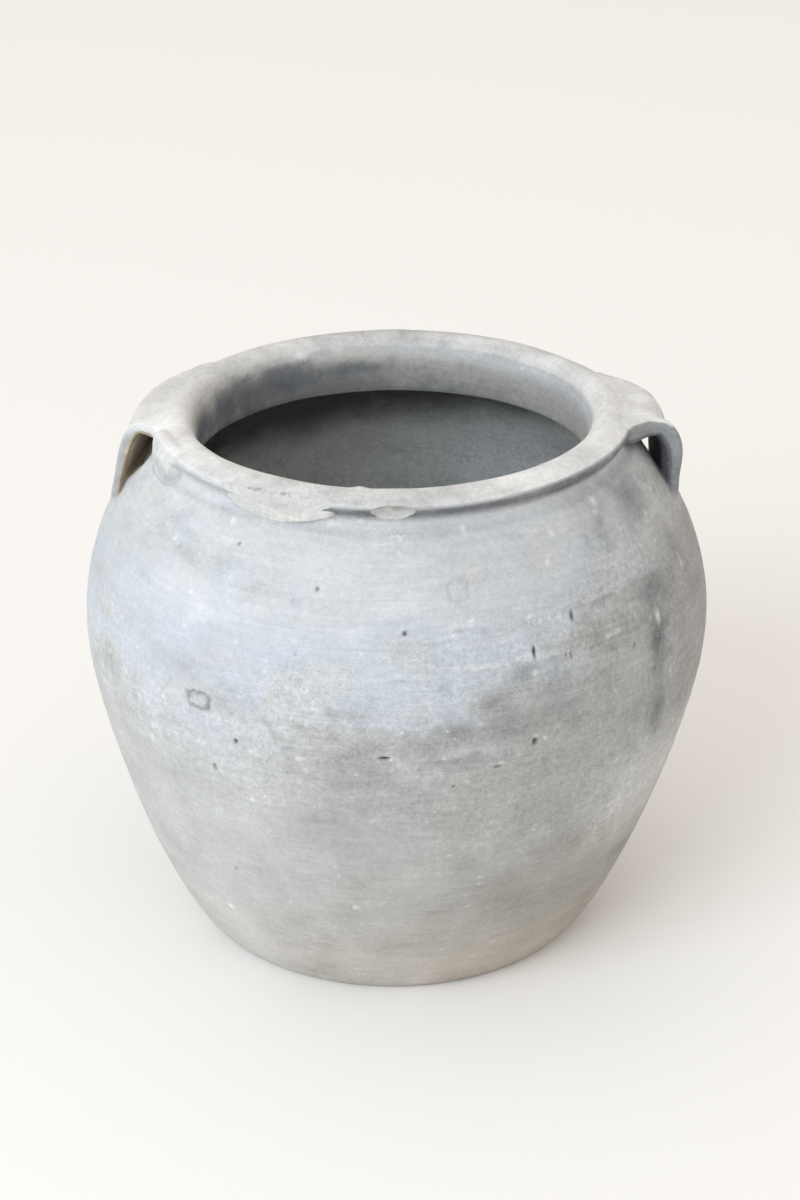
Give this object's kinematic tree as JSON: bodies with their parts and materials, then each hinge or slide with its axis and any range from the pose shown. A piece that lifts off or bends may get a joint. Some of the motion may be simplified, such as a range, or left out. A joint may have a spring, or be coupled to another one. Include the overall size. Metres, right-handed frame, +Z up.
{
  "type": "two-handled earthenware jar",
  "caption": "Wide-mouthed globular jar of grey low-fired clay with strap lugs from lip to shoulder, for water, cooking or storage",
  "frame": {"origin": "centre of the flat underside", "axes": "+Z up along the jar's axis, -X towards the left handle and +X towards the right handle as pictured, -Y towards the viewer"},
  "size_m": [0.28, 0.28, 0.2445],
  "materials": {
    "body_clay": "matte",
    "rim_clay": "matte",
    "handle_clay": "matte"
  },
  "bodies": {
    "root": {"floor_disc": "body_clay", "lower_wall": "body_clay", "belly_wall": "body_clay", "shoulder_wall": "body_clay", "neck_collar": "rim_clay", "rim_lip": "rim_clay", "left_handle": "handle_clay", "right_handle": "handle_clay"}
  },
  "joints": []
}
